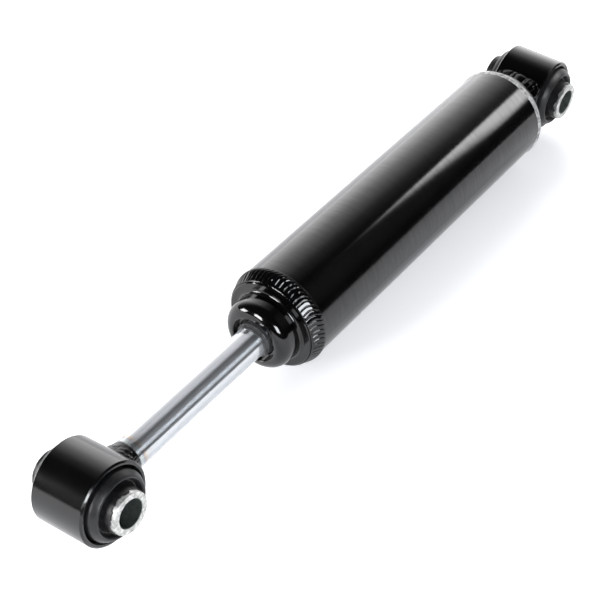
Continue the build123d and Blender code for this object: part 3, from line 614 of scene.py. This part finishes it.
def wiper():
    """Wiper with a stepped face and a lip on the rod; its front is narrower than its seat, so a gap shows."""
    back, tip = 222.1, 231.0
    bore, lip_bore = 7.4, 7.06
    seat = 9.2
    outline = rounded([
        (back, bore, 0.1), (back, seat, 0.1), (225.6, seat, 0.3), (226.0, 8.5, 0.3), (228.9, 8.4, 0.3),
        (229.2, 8.25, 0.1), (229.1, 8.1, 0.08), (229.9, 7.95, 0.15), (229.6, 7.75, 0.08), (230.4, 7.65, 0.15),
        (tip, 7.35, 0.12), (tip, lip_bore, 0.05), (229.4, lip_bore, 0.1), (229.0, bore, 0.1)], lead=0.05)
    return lathe("wiper_moulded", outline)


dress(wiper(), "barrel", "wiper_rubber", "rod_wiper")


# Floor, light and camera

SOFTBOX = math.radians(-145)      # azimuth of the big softbox behind the barrel
FOCUS = Vector((0.22, 0.0, 0.0))  # what the windows face, in metres
WINDOW_DISTANCE = 1.2             # also in metres


def floor():
    """White floor whose glow is painted light: it glows more towards the softbox, less close round the part
    as a painted shadow, and is white far off.
    """
    size = 4000.0
    mesh_obj = finish_mesh("floor", [(-size, -size, FLOOR_Z), (size, -size, FLOOR_Z),
                                     (size, size, FLOOR_Z), (-size, size, FLOOR_Z)], [(0, 1, 2, 3)])
    mat, tree = nodes_of("floor_white")
    grain = noise_tex(tree, place(tree), 0.8, 3.0)
    white = mix(tree, grain, (0.86, 0.86, 0.87), (0.90, 0.90, 0.90))
    diffuse = add(tree, "ShaderNodeBsdfDiffuse", {"Color": white})
    aim = (math.cos(SOFTBOX), math.sin(SOFTBOX), 0.0)
    towards = vector_math(tree, "DOT_PRODUCT", place(tree), aim)
    # Painted light: the floor's glow grows towards the softbox.
    strength = map_range(tree, towards, 0.0, 500.0, 0.62, 2.1)
    # Painted shadow: ambient occlusion dims the glow close round the part.
    open_sky = add(tree, "ShaderNodeAmbientOcclusion", {"Distance": 0.06}, samples=8).outputs["AO"]
    strength = math_node(tree, "MULTIPLY", strength, between(tree, open_sky, 0.55, 1.0))
    horizon = map_range(tree, vector_math(tree, "LENGTH", place(tree)), 550.0, 900.0)
    horizon = math_node(tree, "MULTIPLY", horizon, add(tree, "ShaderNodeLightPath").outputs["Is Camera Ray"])
    strength = math_node(tree, "MAXIMUM", strength, horizon)
    glow = add(tree, "ShaderNodeEmission", {"Color": (0.97, 0.975, 1.0, 1.0), "Strength": strength})
    both = add(tree, "ShaderNodeAddShader", {0: diffuse.outputs[0], 1: glow.outputs[0]})
    add(tree, "ShaderNodeOutputMaterial", {"Surface": both.outputs[0]})
    mesh_obj.data.materials.append(mat)


def world():
    """Softbox low behind the barrel, dim room elsewhere, white to the camera."""
    scene_world = bpy.data.worlds.new("studio")
    bpy.context.scene.world = scene_world
    scene_world.use_nodes = True
    tree = scene_world.node_tree
    tree.nodes.clear()
    way = add(tree, "ShaderNodeTexCoord").outputs["Generated"]
    aim = (math.cos(SOFTBOX), math.sin(SOFTBOX), 0.0)
    facing = vector_math(tree, "DOT_PRODUCT", way, aim)
    box = ramp(tree, facing, [
        (0.0, (0.006, 0.006, 0.007)), (0.42, (0.012, 0.012, 0.013)), (0.60, (0.10, 0.10, 0.105)),
        (0.74, (0.36, 0.36, 0.37)), (0.86, (0.62, 0.62, 0.62)), (0.94, (0.93, 0.93, 0.93)),
        (1.0, (1.0, 1.0, 1.0))])
    fill_azimuth = math.radians(126)
    level, height = 0.79, 0.61  # of the fill's direction, 38 degrees up
    aside = (math.cos(fill_azimuth) * level, math.sin(fill_azimuth) * level, height)
    fill = vector_math(tree, "DOT_PRODUCT", way, aside)
    room = ramp(tree, fill, [(0.0, (0.0, 0.0, 0.0)), (0.9, (0.0, 0.0, 0.0)), (0.985, (0.03, 0.03, 0.032))])
    total = vector_math(tree, "ADD", box, room)
    seen = add(tree, "ShaderNodeBackground", {"Color": (1.0, 1.0, 1.0, 1.0), "Strength": 1.0})
    lit = add(tree, "ShaderNodeBackground", {"Color": total, "Strength": 3.0})
    camera_ray = add(tree, "ShaderNodeLightPath").outputs["Is Camera Ray"]
    both = add(tree, "ShaderNodeMixShader", {0: camera_ray, 1: lit.outputs[0], 2: seen.outputs[0]})
    add(tree, "ShaderNodeOutputWorld", {"Surface": both.outputs[0]})


def lamp(name, at, to, width, height, power):
    """Area lamp, placed, aimed and sized in metres."""
    light = bpy.data.lights.new(name, "AREA")
    light.shape = "RECTANGLE"
    light.size = width
    light.size_y = height
    light.energy = power
    obj = bpy.data.objects.new(name, light)
    bpy.context.scene.collection.objects.link(obj)
    obj.location = at
    obj.rotation_euler = (Vector(to) - Vector(at)).to_track_quat("-Z", "Y").to_euler()
    return obj


def strip_card():
    """Lit card close over the barrel's rear, fading at three edges; the barrel mirrors it as a long strip."""
    middle = Vector((-60.0, 82.0, 143.0))
    u_way = Vector((-0.454, -0.891, 0.0))
    v_way = Vector((0.549, -0.280, 0.788))
    corners = [middle + u_way * u + v_way * v for u, v in ((-60, -100), (95, -100), (95, 95), (-60, 95))]
    card = finish_mesh("strip_card", corners, [(0, 1, 2, 3)])
    mat, tree = nodes_of("strip_glow")
    at = vector_math(tree, "SUBTRACT", place(tree), tuple(middle))
    u = vector_math(tree, "DOT_PRODUCT", at, tuple(u_way))
    v = vector_math(tree, "DOT_PRODUCT", at, tuple(v_way))
    slanted = math_node(tree, "ADD", u, math_node(tree, "MULTIPLY", v, 0.77))
    glow = 9.0
    for value, low, high in ((u, -48.0, 6.0), (slanted, 43.0, 17.0), (v, -84.0, -50.0)):
        glow = math_node(tree, "MULTIPLY", map_range(tree, value, low, high, curve="SMOOTHSTEP"), glow)
    light = add(tree, "ShaderNodeEmission", {"Color": (1.0, 1.0, 1.0, 1.0), "Strength": glow})
    clear = add(tree, "ShaderNodeBsdfTransparent")
    level = math_node(tree, "MULTIPLY", glow, 0.4, clamp=True)
    both = add(tree, "ShaderNodeMixShader", {0: level, 1: clear.outputs[0], 2: light.outputs[0]})
    add(tree, "ShaderNodeOutputMaterial", {"Surface": both.outputs[0]})
    card.data.materials.append(mat)
    card.visible_shadow = False
    card.visible_diffuse = False
    card.visible_camera = False


def camera():
    """The photo's camera, fitted to its circles and outlines."""
    picture, focal_length, shift_x, shift_y = 600, 1454.9074, -8.2926, -5.8965  # in pixels
    sensor = 36.0
    data = bpy.data.cameras.new("camera")
    data.sensor_width = sensor
    data.lens = focal_length / picture * sensor
    data.shift_x = shift_x / picture
    data.shift_y = shift_y / picture
    data.clip_start = 0.01
    data.clip_end = 100
    obj = bpy.data.objects.new("camera", data)
    bpy.context.scene.collection.objects.link(obj)
    right = Vector((-0.59317357, 0.80492603, 0.01546642))
    down = Vector((0.54774277, 0.41757811, -0.72498716))
    ahead = Vector((-0.59001947, -0.4215716, -0.68858871))
    turn = Matrix((right, -down, -ahead)).transposed()
    stand = Vector((0.56473626, 0.26769845, 0.43447273))
    obj.matrix_world = Matrix.Translation(stand) @ turn.to_4x4()
    bpy.context.scene.camera = obj


floor()
world()
for azimuth, elevation, wide, high, glare in (
        (-55, 10, 0.36, 0.30, 20), (-17, 22, 0.34, 0.40, 25), (54, 27, 0.40, 0.44, 21)):
    around, rise = math.radians(azimuth), math.radians(elevation)
    out = Vector((math.cos(rise) * math.cos(around), math.cos(rise) * math.sin(around), math.sin(rise)))
    power = glare * math.pi * wide * high
    window = lamp(f"window_{azimuth % 360}", FOCUS + WINDOW_DISTANCE * out, FOCUS, wide, high, power)
    if azimuth > 0:
        window.data.color = (0.92, 0.96, 1.0)
strip_card()
key = lamp("key", (-1.1, -0.9, 0.95), (0.15, 0.0, 0.0), 0.8, 0.8, 16.0)
key.visible_glossy = False
camera()

scene = bpy.context.scene
scene.view_settings.view_transform = "Standard"
